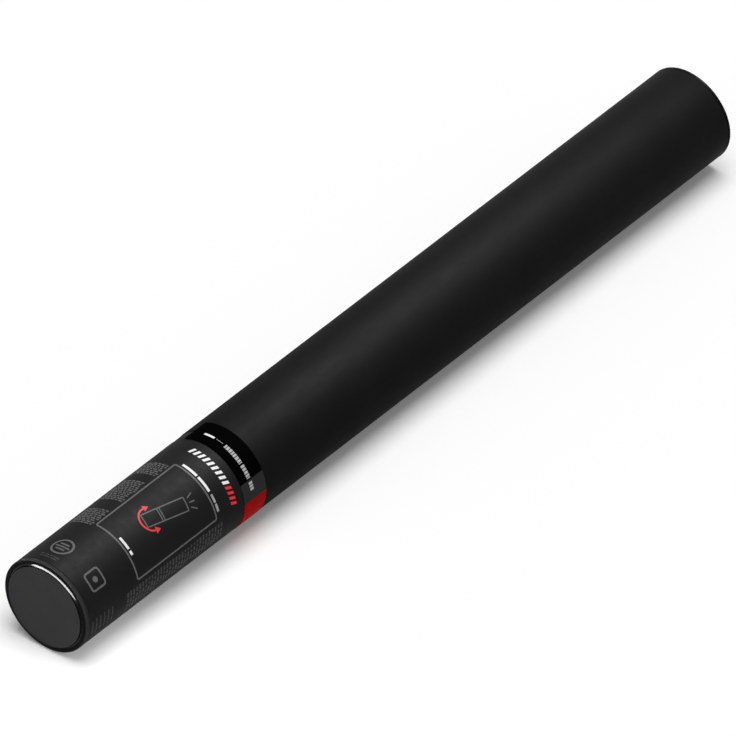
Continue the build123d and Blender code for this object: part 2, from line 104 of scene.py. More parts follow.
def add_panel(name, lit, towards, distance, size, energy, roll=0.0):
    """An oval lamp at that distance and direction from the place that it lights, rolled by that angle."""
    towards = Vector(towards).normalized()
    facing = towards.to_track_quat("Z", "Y") @ Quaternion((0, 0, 1), roll)
    bpy.ops.object.light_add(type="AREA", location=lit + towards * distance, rotation=facing.to_euler())
    panel = bpy.context.object
    panel.name = name
    panel.data.shape = "ELLIPSE"
    panel.data.size = size[0]
    panel.data.size_y = size[1]
    panel.data.energy = energy
    panel.visible_camera = False
    panel.visible_diffuse = False
    return panel


rim_middle = Vector((base_end, 0, axis_height))
base_end_light = add_panel("base_end_light", rim_middle, towards=(-0.745, 0.10, 0.65), distance=0.5,
                           size=(1.5, 0.2), energy=125.0, roll=math.radians(-5.0))
sheen_middle = Vector((base_end + sheen_along, 0, axis_height))
add_panel("sheen_light", sheen_middle, towards=(0.55, -0.03, 0.83), distance=0.8, size=(0.23, 0.56),
          energy=26.0)

room = bpy.data.worlds.new("pale_room")
bpy.context.scene.world = room
room.use_nodes = True
room_nodes = room.node_tree.nodes
room_links = room.node_tree.links
room_light = room_nodes["Background"]
room_light.inputs["Color"].default_value = full_white
room_light.inputs["Strength"].default_value = room_strength
room_seen = room_nodes.new("ShaderNodeBackground")
room_seen.inputs["Color"].default_value = full_white
room_seen.inputs["Strength"].default_value = 1.0
room_mix = room_nodes.new("ShaderNodeMixShader")


def seen_directly(nodes, links):
    """1 where a ray comes from the camera, a mirror or glass, and 0 where it only gathers light."""
    path = nodes.new("ShaderNodeLightPath")
    first = nodes.new("ShaderNodeMath")
    first.operation = "MAXIMUM"
    links.new(path.outputs["Is Camera Ray"], first.inputs[0])
    links.new(path.outputs["Is Glossy Ray"], first.inputs[1])
    second = nodes.new("ShaderNodeMath")
    second.operation = "MAXIMUM"
    links.new(first.outputs[0], second.inputs[0])
    links.new(path.outputs["Is Transmission Ray"], second.inputs[1])
    return second.outputs[0]


room_links.new(seen_directly(room_nodes, room_links), room_mix.inputs[0])
room_links.new(room_light.outputs[0], room_mix.inputs[1])
room_links.new(room_seen.outputs[0], room_mix.inputs[2])
room_links.new(room_mix.outputs[0], room_nodes["World Output"].inputs["Surface"])

# Floor: a wide white table, with a little of its own white added where it is looked at, so that it
# reaches white and still takes the tube's soft shadow. A small lamp in front of the base thins the shadow
# there, and lights the table alone.
floor_reach = 30.0
floor_sides = 96
table_white = (0.93, 0.93, 0.93, 1)
floor_own_white = 0.12
shadow_along = 0.010
shadow_front = 0.028
bpy.ops.object.select_all(action="DESELECT")
bpy.ops.mesh.primitive_circle_add(vertices=floor_sides, radius=floor_reach, fill_type="NGON",
                                  location=(0, 0, cad_low.z))
floor = bpy.context.object
floor.name = "floor"
floor_white = bpy.data.materials.new("white_table")
floor_white.use_nodes = True
floor_nodes = floor_white.node_tree.nodes
floor_links = floor_white.node_tree.links
floor_board = floor_nodes["Principled BSDF"]
floor_board.inputs["Base Color"].default_value = table_white
floor_board.inputs["Roughness"].default_value = 0.9
floor_board.inputs["Specular IOR Level"].default_value = 0.0
floor_board.inputs["Emission Color"].default_value = full_white
floor_lift = floor_nodes.new("ShaderNodeMath")
floor_lift.operation = "MULTIPLY"
floor_lift.inputs[1].default_value = floor_own_white
floor_links.new(seen_directly(floor_nodes, floor_links), floor_lift.inputs[0])
floor_links.new(floor_lift.outputs[0], floor_board.inputs["Emission Strength"])
floor.data.materials.append(floor_white)
shadow_place = Vector((base_end + shadow_along, -shadow_front, cad_low.z))
shadow_light = add_panel("shadow_light", shadow_place, towards=(0, -0.8, 0.6), distance=0.085,
                         size=(0.06, 0.06), energy=0.034)
shadow_light.visible_diffuse = True
shadow_light.visible_glossy = False
floor_alone = bpy.data.collections.new("floor_alone")
floor_alone.objects.link(floor)
shadow_light.light_linking.receiver_collection = floor_alone

# Barrel: a wound tube of thick grey board in a satin black wrap, cut square at both ends.
# The wrap is plain, and turned over the cut ends. The board's own grey shows in the bore.
tube_sides = 256
along_tube = (0, math.pi / 2, 0)
barrel_wall = 0.002
cut_edge_rounding = 0.0003
smooth_below = math.radians(40)
round_above = math.radians(50)
bore_facing = -0.3
grain_low, grain_high = 0.3, 0.7
wrap_black_dark = (0.0032, 0.0032, 0.0032, 1)
wrap_black_light = (0.0046, 0.0046, 0.0046, 1)
board_grey_dark = (0.11, 0.10, 0.085, 1)
board_grey_light = (0.19, 0.175, 0.15, 1)


def new_finish(name, roughness=0.5, specular=0.5, metallic=0.0, colour=None):
    """A material whose even values sit on the shader's own sockets."""
    material = bpy.data.materials.new(name)
    material.use_nodes = True
    shader = material.node_tree.nodes["Principled BSDF"]
    if colour:
        shader.inputs["Base Color"].default_value = colour
    shader.inputs["Roughness"].default_value = roughness
    shader.inputs["Specular IOR Level"].default_value = specular
    shader.inputs["Metallic"].default_value = metallic
    return material


def grain(material, scale, stretch=(1, 1, 1), detail=4.0):
    """Noise in the piece's own space, stretched along an axis where the real surface has a direction."""
    nodes = material.node_tree.nodes
    links = material.node_tree.links
    place = nodes.new("ShaderNodeTexCoord")
    mapping = nodes.new("ShaderNodeMapping")
    mapping.inputs["Scale"].default_value = stretch
    noise = nodes.new("ShaderNodeTexNoise")
    noise.inputs["Scale"].default_value = scale
    noise.inputs["Detail"].default_value = detail
    links.new(place.outputs["Object"], mapping.inputs["Vector"])
    links.new(mapping.outputs["Vector"], noise.inputs["Vector"])
    return noise.outputs["Fac"]


def vary_colour(material, source, dark, light):
    """Base colour that runs from dark to light with the grain."""
    nodes = material.node_tree.nodes
    ramp = nodes.new("ShaderNodeValToRGB")
    ramp.color_ramp.elements[0].position = grain_low
    ramp.color_ramp.elements[0].color = dark
    ramp.color_ramp.elements[1].position = grain_high
    ramp.color_ramp.elements[1].color = light
    material.node_tree.links.new(source, ramp.inputs["Fac"])
    material.node_tree.links.new(ramp.outputs["Color"], nodes["Principled BSDF"].inputs["Base Color"])


def vary_roughness(material, source, low, high):
    """Roughness that runs from low to high with the grain."""
    nodes = material.node_tree.nodes
    spread = nodes.new("ShaderNodeMapRange")
    spread.inputs["From Min"].default_value = grain_low
    spread.inputs["From Max"].default_value = grain_high
    spread.inputs["To Min"].default_value = low
    spread.inputs["To Max"].default_value = high
    material.node_tree.links.new(source, spread.inputs["Value"])
    material.node_tree.links.new(spread.outputs["Result"], nodes["Principled BSDF"].inputs["Roughness"])


def emboss(material, source, depth, strength=0.5):
    """Small relief of that depth in metres from the grain."""
    nodes = material.node_tree.nodes
    bump = nodes.new("ShaderNodeBump")
    bump.inputs["Strength"].default_value = strength
    bump.inputs["Distance"].default_value = depth
    material.node_tree.links.new(source, bump.inputs["Height"])
    material.node_tree.links.new(bump.outputs["Normal"], nodes["Principled BSDF"].inputs["Normal"])


board_black = new_finish("board_black", specular=0.03)
vary_colour(board_black, grain(board_black, 60.0), wrap_black_dark, wrap_black_light)
vary_roughness(board_black, grain(board_black, 180.0, stretch=(0.3, 1, 1)), 0.62, 0.68)
emboss(board_black, grain(board_black, 1400.0, stretch=(0.5, 1, 1)), 0.00001, 0.3)
board_core = new_finish("board_core", roughness=0.9, specular=0.2)
board_fibre = grain(board_core, 700.0, stretch=(0.4, 1, 1), detail=8.0)
vary_colour(board_core, board_fibre, board_grey_dark, board_grey_light)
emboss(board_core, grain(board_core, 1500.0), 0.00004)


def apply_modifiers(piece):
    """Makes the piece's modifiers part of its mesh, in their order."""
    bpy.context.view_layer.objects.active = piece
    for modifier in list(piece.modifiers):
        bpy.ops.object.modifier_apply(modifier=modifier.name)


def soften_edges(piece, width, segments=3):
    """Rounds the sharp edges of a piece."""
    bevel = piece.modifiers.new("edges", "BEVEL")
    bevel.width = width
    bevel.segments = segments
    bevel.limit_method = "ANGLE"
    bevel.angle_limit = round_above


def paint_by_place(piece, *materials, choose):
    """Gives each face the material whose number choose returns for the face."""
    for material in materials:
        piece.data.materials.append(material)
    for face in piece.data.polygons:
        face.material_index = choose(face)


def faces_out(face):
    """How far a face looks away from the tube's axis, from -1 to 1."""
    out = Vector((0, face.center.y, face.center.z - axis_height))
    return face.normal.dot(out.normalized())


def board_tube(name, node, wall):
    """A tube with the node's ends and outside, many-sided, with its wall and softened cut edges."""
    low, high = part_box(node)
    bpy.ops.object.select_all(action="DESELECT")
    bpy.ops.mesh.primitive_cylinder_add(vertices=tube_sides, radius=(high.y - low.y) / 2,
                                        depth=high.x - low.x, end_fill_type="NOTHING",
                                        location=(low + high) / 2, rotation=along_tube)
    tube = bpy.context.object
    tube.name = name
    bpy.ops.object.transform_apply(location=True, rotation=True, scale=True)
    wall_thickness = tube.modifiers.new("wall", "SOLIDIFY")
    wall_thickness.thickness = wall
    soften_edges(tube, cut_edge_rounding)
    apply_modifiers(tube)
    bpy.ops.object.shade_smooth_by_angle(angle=smooth_below)
    paint_by_place(tube, board_black, board_core,
                   choose=lambda face: 0 if faces_out(face) > bore_facing else 1)
    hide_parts(node)
    return tube


barrel = board_tube("barrel", "barrel_tube", barrel_wall)
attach(barrel, "barrel")

# Handle: a shorter board tube of the same make, which turns on the breech under its printed wrap.
# Only a narrow ring of it shows, between the wrap and the twist joint.
handle_wall = 0.0018
handle = board_tube("handle", "handle_tube", handle_wall)
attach(handle, "handle")

# Wrap: a printed satin film, cut to the grip's length, rolled round it and butted with a thin seam.
# It is laid out flat on top of the tube, and then rolled down both sides.
roll_step = math.radians(2.0)
film_dark = (0.0055, 0.0055, 0.0057, 1)
film_light = (0.0075, 0.0075, 0.0077, 1)
film_edge_grey = (0.05, 0.05, 0.052, 1)
sheet_facing = 0.5


def roll_round_tube(piece, radius, thickness):
    """Bends a flat sheet that lies on top of the tube down round both sides, and thickens it outwards."""
    bpy.context.view_layer.objects.active = piece
    across = [vertex.co.y for vertex in piece.data.vertices]
    bpy.ops.object.mode_set(mode="EDIT")
    first_step = math.ceil(min(across) / radius / roll_step)
    last_step = math.ceil(max(across) / radius / roll_step)
    for step in range(first_step, last_step):
        bpy.ops.mesh.select_all(action="SELECT")
        bpy.ops.mesh.bisect(plane_co=(0, step * roll_step * radius, 0), plane_no=(0, 1, 0))
    bpy.ops.object.mode_set(mode="OBJECT")
    for vertex in piece.data.vertices:
        turn = vertex.co.y / radius
        vertex.co = (vertex.co.x, radius * math.sin(turn), axis_height + radius * math.cos(turn))
    sheet = piece.modifiers.new("sheet", "SOLIDIFY")
    sheet.thickness = thickness
    sheet.offset = 1.0
    apply_modifiers(piece)
    bpy.ops.object.shade_smooth_by_angle(angle=smooth_below)


def add_bar(start, end, first, last):
    """Adds a flat bar to the sheet being drawn, from its place along the tube and its two edges across."""
    middle = ((start + end) / 2, (first + last) / 2, 0)
    bpy.ops.mesh.primitive_plane_add(size=1, location=middle)
    bpy.ops.transform.resize(value=(abs(end - start), abs(last - first), 1), center_override=middle)


def new_sheet(name):
    """An empty flat sheet, open for drawing."""
    bpy.ops.object.select_all(action="DESELECT")
    bpy.ops.mesh.primitive_plane_add(size=1)
    sheet = bpy.context.object
    sheet.name = name
    bpy.ops.object.mode_set(mode="EDIT")
    bpy.ops.mesh.select_all(action="SELECT")
    bpy.ops.mesh.delete(type="VERT")
    return sheet


wrap_low, wrap_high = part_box("grip_label")
wrap_thickness = 0.00012
wrap_outside = 0.02595
wrap_radius = wrap_outside - wrap_thickness
wrap_seam = math.radians(210.0)
wrap_seam_gap = math.radians(1.5)
wrap_first = wrap_radius * (-wrap_seam + wrap_seam_gap / 2)
wrap_last = wrap_first + wrap_radius * (2 * math.pi - wrap_seam_gap)
label_print = new_finish("label_print", specular=0.036)
vary_colour(label_print, grain(label_print, 45.0), film_dark, film_light)
vary_roughness(label_print, grain(label_print, 260.0), 0.58, 0.65)
emboss(label_print, grain(label_print, 900.0), 0.000008, 0.3)
film_edge = new_finish("film_edge", roughness=0.6, specular=0.3, colour=film_edge_grey)

wrap = new_sheet("grip_wrap")
add_bar(wrap_low.x, wrap_high.x, wrap_first, wrap_last)
bpy.ops.object.mode_set(mode="OBJECT")
roll_round_tube(wrap, wrap_radius, wrap_thickness)
paint_by_place(wrap, label_print, film_edge,
               choose=lambda face: 0 if abs(faces_out(face)) > sheet_facing else 1)
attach(wrap, "handle")
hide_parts("grip_label")

# Prints on the wrap: raised inks in greys, white and red. A ring and a rounded square near the base, a framed
# panel with a plain sketch of a tube, rows of fine dashes beside it, and bars towards the twist joint.
# Each ink is drawn flat, from its distance to the base end and its turn from the tube's top, and rolled on.
ink_thickness = 0.00004
ink_sunk = 0.00001
ink_bed = wrap_outside - ink_sunk
fine_line = 0.0006
frame_line = 0.0009
disc_sides = 48
coarse_dots = 700.0
fine_dots = 900.0


def new_ink(name, dots, dark, light):
    """A matt printing ink, a little uneven in colour."""
    ink = new_finish(name, roughness=0.6, specular=0.1)
    vary_colour(ink, grain(ink, dots), dark, light)
    return ink


ink_grey = new_ink("ink_grey", fine_dots, (0.085, 0.085, 0.087, 1), (0.135, 0.135, 0.138, 1))
ink_faint = new_ink("ink_faint", fine_dots, (0.024, 0.024, 0.025, 1), (0.042, 0.042, 0.043, 1))
ink_white = new_ink("ink_white", coarse_dots, (0.86, 0.86, 0.86, 1), (0.94, 0.94, 0.94, 1))
ink_silver = new_ink("ink_silver", coarse_dots, (0.30, 0.30, 0.30, 1), (0.40, 0.40, 0.40, 1))
ink_pale = new_ink("ink_pale", coarse_dots, (0.40, 0.40, 0.40, 1), (0.50, 0.50, 0.50, 1))
ink_red = new_ink("ink_red", coarse_dots, (0.74, 0.020, 0.030, 1), (0.84, 0.030, 0.040, 1))


def across_at(turn):
    """Place across the flat sheet for a turn in degrees from the tube's top towards its front."""
    return -ink_bed * math.radians(turn)


def print_bar(start, end, first, last):
    """A bar, from its two distances to the base end and its two turns."""
    add_bar(base_end + start, base_end + end, across_at(first), across_at(last))


def print_disc(along, turn, radius):
    """A disc, from its distance to the base end, its turn and its radius."""
    bpy.ops.mesh.primitive_circle_add(vertices=disc_sides, radius=radius, fill_type="NGON",
                                      location=(base_end + along, across_at(turn), 0))


def round_corners(radius):
    """Rounds the corners of the shape just drawn."""
    bpy.ops.mesh.bevel(offset=radius, segments=4, affect="VERTICES")


def keep_outline(line):
    """Leaves only a line of that width along the edge of the shape just drawn."""
    bpy.ops.mesh.select_mode(type="FACE")
    bpy.ops.mesh.inset(thickness=line)
    bpy.ops.mesh.delete(type="FACE")
    bpy.ops.mesh.select_mode(type="VERT")


def print_stroke(start, end, width):
    """A straight line of that width between two places on the flat sheet."""
    run = end - start
    middle = ((start.x + end.x) / 2, (start.y + end.y) / 2, 0)
    bpy.ops.mesh.primitive_plane_add(size=1, location=middle)
    bpy.ops.transform.resize(value=(run.length, width, 1), center_override=middle)
    bpy.ops.transform.rotate(value=-math.atan2(run.y, run.x), orient_axis="Z", center_override=middle)


def print_rows(start, end, first, last, pitch, height, gap, lengths):
    """Rows of fine dashes that run round the tube, as close print looks from afar."""
    row = start
    while row + height <= end:
        place = first + random.uniform(0, gap)
        while place < last - gap:
            length = random.uniform(*lengths)
            print_bar(row, row + height, place, min(place + length, last))
            place += length + gap
        row += pitch


def finish_print(sheet, ink, bed=ink_bed, body="handle"):
    """Rolls a drawn sheet on its bed, and gives it its ink."""
    bpy.ops.object.mode_set(mode="OBJECT")
    roll_round_tube(sheet, bed, ink_thickness)
    sheet.data.materials.append(ink)
    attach(sheet, body)


sketch_middle = Vector((base_end + 0.0735, across_at(36.0)))
sketch_turn = math.radians(-12.0)
sketch_back, sketch_front, sketch_half = -13.0, 14.0, 3.6
sketch_along = Vector((math.cos(sketch_turn), math.sin(sketch_turn)))
sketch_across = Vector((-math.sin(sketch_turn), math.cos(sketch_turn)))


def on_sketch(along, across):
    """A place on the flat sheet, from millimetres along and across the sketched tube."""
    return sketch_middle + sketch_along * along / 1000 + sketch_across * across / 1000


grey_print = new_sheet("label_grey_print")
print_disc(0.0174, -6.0, 0.0061)
keep_outline(0.0011)
print_bar(0.0148, 0.0158, -12.0, 0.0)
print_bar(0.0169, 0.0179, -15.0, 3.0)
print_bar(0.0190, 0.0200, -12.0, 0.0)
print_bar(0.0106, 0.0212, 36.0, 59.0)
round_corners(0.0020)
keep_outline(0.0010)
print_disc(0.0159, 47.5, 0.0016)
print_bar(0.0402, 0.1013, -2.6, 80.2)
round_corners(0.0014)
keep_outline(frame_line)
tube_corners = [on_sketch(sketch_back, -sketch_half), on_sketch(sketch_front, -sketch_half),
                on_sketch(sketch_front, sketch_half), on_sketch(sketch_back, sketch_half)]
for corner, following in zip(tube_corners, tube_corners[1:] + tube_corners[:1]):
    print_stroke(corner, following, fine_line)
for joint in (-3.0, -1.6):
    print_stroke(on_sketch(joint, -sketch_half), on_sketch(joint, sketch_half), fine_line)
for lean in (-6.0, 0.0, 6.0):
    print_stroke(on_sketch(16.0, lean * 0.4), on_sketch(19.5, lean * 0.7), fine_line)
finish_print(grey_print, ink_grey)

small_print = new_sheet("label_small_print")
for start, end in ((0.0390, 0.0535), (0.0620, 0.0820), (0.0875, 0.0996)):
    print_rows(start, end, -39.0, -5.0, pitch=0.0016, height=0.0009, gap=1.6, lengths=(2.0, 6.5))
finish_print(small_print, ink_grey)

side_print = new_sheet("label_side_print")
print_rows(0.0320, 0.1050, 85.0, 111.0, pitch=0.0023, height=0.0013, gap=2.0, lengths=(3.0, 9.0))
print_rows(0.0055, 0.0235, 87.0, 108.0, pitch=0.0030, height=0.0007, gap=1.5, lengths=(8.0, 22.0))
print_rows(0.0068, 0.0098, -20.0, 6.0, pitch=0.0016, height=0.0007, gap=1.5, lengths=(3.0, 8.0))
finish_print(side_print, ink_faint)

white_print = new_sheet("label_white_print")
print_bar(0.0422, 0.0436, 28.0, 43.5)
print_bar(0.0422, 0.0436, 46.0, 51.0)
print_bar(0.1023, 0.1038, 5.0, 25.5)
print_bar(0.1023, 0.1038, 27.5, 47.0)
finish_print(white_print, ink_white)

silver_print = new_sheet("label_silver_print")
print_bar(0.1024, 0.1038, 51.0, 61.0)
print_bar(0.1024, 0.1038, 62.5, 72.0)
finish_print(silver_print, ink_silver)

turn_mark = new_sheet("label_turn_mark")
turn_middle = on_sketch(-9.0, 0.0)
turn_radius = 0.0068
turn_line = 0.0010
arrow_size = 0.0021
arrow_ahead = 0.0008
bpy.ops.mesh.primitive_circle_add(vertices=disc_sides, radius=turn_radius, fill_type="NGON",
                                  location=(turn_middle.x, turn_middle.y, 0))
keep_outline(turn_line)
bpy.ops.mesh.select_all(action="SELECT")
bpy.ops.mesh.bisect(plane_co=(turn_middle.x, turn_middle.y, 0), plane_no=(sketch_along.x, sketch_along.y, 0),
                    clear_outer=True)
for side in (-1, 1):
    tip = turn_middle + sketch_across * side * (turn_radius - turn_line / 2) + sketch_along * arrow_ahead
    bpy.ops.mesh.primitive_circle_add(vertices=3, radius=arrow_size, fill_type="NGON",
                                      location=(tip.x, tip.y, 0), rotation=(0, 0, sketch_turn - math.pi / 2))
finish_print(turn_mark, ink_red)

stripe_start, stripe_end = 0.1125, 0.1163
stripe_slope = 0.35
stripe_filled = 0.54


def print_stripes(name, ink, first, last, count):
    """Slanted stripes of one ink, side by side round the tube."""
    sheet = new_sheet(name)
    pitch = (last - first) / count
    for number in range(count):
        print_bar(stripe_start, stripe_end, first + number * pitch, first + (number + stripe_filled) * pitch)
    bpy.ops.object.mode_set(mode="OBJECT")
    for vertex in sheet.data.vertices:
        vertex.co.y -= stripe_slope * (vertex.co.x - base_end - (stripe_start + stripe_end) / 2)
    finish_print(sheet, ink)


print_stripes("label_white_stripes", ink_white, -4.0, 55.0, 9)
print_stripes("label_red_stripes", ink_red, 55.0, 80.0, 4)

# Base cap: a moulded disc glued into the grip's end, with ribs behind. Its flat satin face stands proud on
# a boss. The boss's slope is dull black next to the face, and polished further out, where it catches the
# light as a thin arc above a black shoulder.
cap_low, cap_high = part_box("base_cap")
cap_radius = (cap_high.y - cap_low.y) / 2
cap_flange = 0.003
cap_boss_inset = 0.0023
cap_boss_height = 0.0011
cap_boss_line = 0.00037
cap_boss_top = cap_radius - cap_boss_inset - cap_boss_height
cap_slope_shape = 0.29
cap_edge_rounding = 0.0006
cap_merge_reach = 0.00001
cap_smooth_below = math.radians(30)
end_facing = 0.9
flat_facing = 0.99
cap_face_dark = (0.0300, 0.0300, 0.0302, 1)
cap_face_light = (0.0345, 0.0345, 0.0347, 1)
cap_rim_dark = (0.0020, 0.0020, 0.0021, 1)
cap_rim_light = (0.0030, 0.0030, 0.0031, 1)
cap_side_black = (0.0012, 0.0012, 0.0013, 1)
# The outer edge's grey is partly painted sheen, lighter than its faint gloss alone gives.
cap_edge_and_sheen_dark = (0.025, 0.025, 0.0253, 1)
cap_edge_and_sheen_light = (0.030, 0.030, 0.0303, 1)
cap_skirt_inner = 0.02195
cap_skirt_outer = 0.02395
cap_rib_height = 0.003
cap_rib_width = 0.0016
cap_rib_bars = 3
cap_face = new_finish("cap_face", specular=0.03)
vary_colour(cap_face, grain(cap_face, 80.0), cap_face_dark, cap_face_light)
vary_roughness(cap_face, grain(cap_face, 300.0), 0.50, 0.58)
emboss(cap_face, grain(cap_face, 2200.0), 0.00001, 0.3)
cap_rim = new_finish("cap_rim", specular=0.06)
vary_colour(cap_rim, grain(cap_rim, 90.0), cap_rim_dark, cap_rim_light)
vary_roughness(cap_rim, grain(cap_rim, 300.0), 0.16, 0.18)
cap_side = new_finish("cap_side", specular=0.02, colour=cap_side_black)
vary_roughness(cap_side, grain(cap_side, 300.0), 0.45, 0.52)
cap_line = new_finish("cap_line", roughness=0.7, specular=0.0, colour=cap_side_black)
# Outer edge: grey with a faint gloss, its grey raised a little as painted sheen.
cap_edge_and_sheen = new_finish("cap_edge_and_sheen", specular=0.012)
vary_colour(cap_edge_and_sheen, grain(cap_edge_and_sheen, 90.0), cap_edge_and_sheen_dark, cap_edge_and_sheen_light)
vary_roughness(cap_edge_and_sheen, grain(cap_edge_and_sheen, 300.0), 0.60, 0.64)

bpy.ops.object.select_all(action="DESELECT")
cap_shoulder = cap_low.x + cap_boss_height
cap_back = cap_low.x + cap_flange
cap_skirt_length = cap_high.x - cap_back
bpy.ops.mesh.primitive_cylinder_add(vertices=tube_sides, radius=cap_radius, depth=cap_back - cap_shoulder,
                                    location=((cap_shoulder + cap_back) / 2, 0, axis_height),
                                    rotation=along_tube)
base = bpy.context.object
base.name = "base_cap_moulding"
bpy.ops.object.transform_apply(location=True, rotation=True, scale=True)


def select_faces(piece, wanted):
    """Selects the faces that wanted says yes to, and nothing else, in edit mode."""
    bpy.ops.object.mode_set(mode="EDIT")
    bpy.ops.mesh.select_mode(type="FACE")
    bpy.ops.mesh.select_all(action="DESELECT")
    bpy.ops.object.mode_set(mode="OBJECT")
    for face in piece.data.polygons:
        face.select = bool(wanted(face))
    bpy.ops.object.mode_set(mode="EDIT")


def draw_out(distance):
    """Draws the selected faces out along the tube."""
    bpy.ops.mesh.extrude_region_move(TRANSFORM_OT_translate={"value": (distance, 0, 0)})


select_faces(base, lambda face: face.normal.x > end_facing)
bpy.ops.mesh.inset(thickness=cap_radius - cap_skirt_outer)
draw_out(cap_skirt_length)
bpy.ops.mesh.inset(thickness=cap_skirt_outer - cap_skirt_inner)
draw_out(-cap_skirt_length)
select_faces(base, lambda face: face.normal.x < -end_facing)
bpy.ops.mesh.bevel(offset=cap_edge_rounding, segments=4, affect="EDGES")
select_faces(base, lambda face: face.normal.x < -flat_facing)
bpy.ops.mesh.inset(thickness=cap_boss_inset - cap_edge_rounding)
draw_out(-cap_boss_height)
bpy.ops.mesh.bevel(offset=cap_boss_height, segments=6, profile=cap_slope_shape, affect="EDGES")
bpy.ops.mesh.select_mode(type="VERT")
bpy.ops.mesh.select_all(action="SELECT")
bpy.ops.mesh.remove_doubles(threshold=cap_merge_reach)
bpy.ops.mesh.select_all(action="DESELECT")
rib_middle = (cap_back + cap_rib_height / 2, 0, axis_height)
for number in range(cap_rib_bars):
    bpy.ops.mesh.primitive_cube_add(size=1, location=rib_middle)
    bpy.ops.transform.resize(value=(cap_rib_height, 2 * cap_skirt_inner, cap_rib_width),
                             center_override=rib_middle)
    bpy.ops.transform.rotate(value=math.pi * number / cap_rib_bars, orient_axis="X",
                             center_override=rib_middle)
bpy.ops.object.mode_set(mode="OBJECT")
bpy.ops.object.shade_smooth_by_angle(angle=cap_smooth_below)


def cap_finish(face):
    """The satin face, the dull line and polished slope round it, the satin outer edge, whose grey is partly
    painted sheen, or black.
    """
    out = math.hypot(face.center.y, face.center.z - axis_height)
    if face.normal.x < -flat_facing and out < cap_boss_top:
        return 0
    if face.center.x < cap_low.x + cap_boss_line and face.normal.x > -flat_facing:
        return 4
    if face.center.x < cap_low.x + cap_boss_height and face.normal.x > -flat_facing:
        return 1
    return 2 if out > cap_radius - cap_edge_rounding else 3


paint_by_place(base, cap_face, cap_rim, cap_edge_and_sheen, cap_side, cap_line, choose=cap_finish)
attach(base, "handle")
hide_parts("base_cap")
rim_alone = bpy.data.collections.new("rim_alone")
rim_alone.objects.link(base)
base_end_light.light_linking.receiver_collection = rim_alone

# Safety strip: a self-adhesive film stuck over the twist joint, black with a grey and a red end.
# It has rounded corners, a white bar and paler rows printed along its middle, and a pale gummed side.
strip_low, strip_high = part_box("safety_strip")
strip_bed = 0.02603
strip_thickness = 0.00012
strip_turns = (-28.0, 64.0, 88.0, 144.0)
strip_corner = 0.001
strip_black = new_finish("strip_black", specular=0.002)
vary_colour(strip_black, grain(strip_black, 90.0), (0.0004, 0.0004, 0.0004, 1), (0.0008, 0.0008, 0.0008, 1))
vary_roughness(strip_black, grain(strip_black, 300.0), 0.66, 0.72)
strip_grey = new_finish("strip_grey", specular=0.05)
vary_colour(strip_grey, grain(strip_grey, 90.0), (0.016, 0.016, 0.0163, 1), (0.021, 0.021, 0.0213, 1))
vary_roughness(strip_grey, grain(strip_grey, 300.0), 0.6, 0.68)
strip_red = new_finish("strip_red", specular=0.02)
vary_colour(strip_red, grain(strip_red, 90.0), (0.30, 0.0004, 0.0004, 1), (0.36, 0.0008, 0.0008, 1))
vary_roughness(strip_red, grain(strip_red, 300.0), 0.6, 0.68)
strip_gum = new_finish("strip_gum", specular=0.3)
vary_colour(strip_gum, grain(strip_gum, 250.0), (0.36, 0.36, 0.35, 1), (0.46, 0.46, 0.45, 1))
vary_roughness(strip_gum, grain(strip_gum, 600.0), 0.35, 0.5)


def strip_finish(face):
    """Black, grey or red by the face's turn in degrees from the tube's top, or gum on the inside."""
    turn = math.degrees(math.atan2(-face.center.y, face.center.z - axis_height))
    return 3 if faces_out(face) < -sheet_facing else sum(turn > start for start in strip_turns[1:3])


strip = new_sheet("safety_film")
strip_edges = [-strip_bed * math.radians(turn) for turn in strip_turns]
add_bar(strip_low.x, strip_high.x, strip_edges[0], strip_edges[3])
round_corners(strip_corner)
bpy.ops.object.mode_set(mode="OBJECT")
roll_round_tube(strip, strip_bed, strip_thickness)
paint_by_place(strip, strip_black, strip_grey, strip_red, strip_gum, choose=strip_finish)
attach(strip, "safety_strip")
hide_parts("safety_strip")

strip_print_bed = strip_bed + strip_thickness - ink_sunk
strip_print = new_sheet("safety_film_print")
print_bar(0.1279, 0.1292, -11.0, 3.0)
finish_print(strip_print, ink_white, strip_print_bed, "safety_strip")

strip_rows = new_sheet("safety_film_rows")
print_bar(0.1285, 0.1287, 5.5, 15.0)
for first, last in ((18.0, 44.0), (46.0, 62.5), (66.0, 78.0)):
    print_rows(0.1271, 0.1297, first, last, pitch=0.01, height=0.0024, gap=0.9, lengths=(1.8, 3.2))
finish_print(strip_rows, ink_pale, strip_print_bed, "safety_strip")

# Muzzle cap: a thin moulded plug pushed into the mouth, with a flange on the tube's end, a tapered skirt
# in the bore and a floor set back behind the mouth. The shot pushes it out.
plug_low, plug_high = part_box("muzzle_cap")
plug_radius = (plug_high.y - plug_low.y) / 2
plug_flange = 0.0015
plug_skirt_radius = 0.0239
plug_skirt_wall = 0.0016
plug_skirt_taper = 0.979
plug_recess = 0.005
plug_floor = 0.0016
plug_boss_rim = 0.006
plug_boss_height = 0.0005
plug_edge_rounding = 0.00025
cap_black = new_finish("cap_black", specular=0.03)
vary_colour(cap_black, grain(cap_black, 80.0), (0.0018, 0.0018, 0.0019, 1), (0.0030, 0.0030, 0.0031, 1))
vary_roughness(cap_black, grain(cap_black, 300.0), 0.42, 0.5)
emboss(cap_black, grain(cap_black, 2200.0), 0.00001, 0.3)

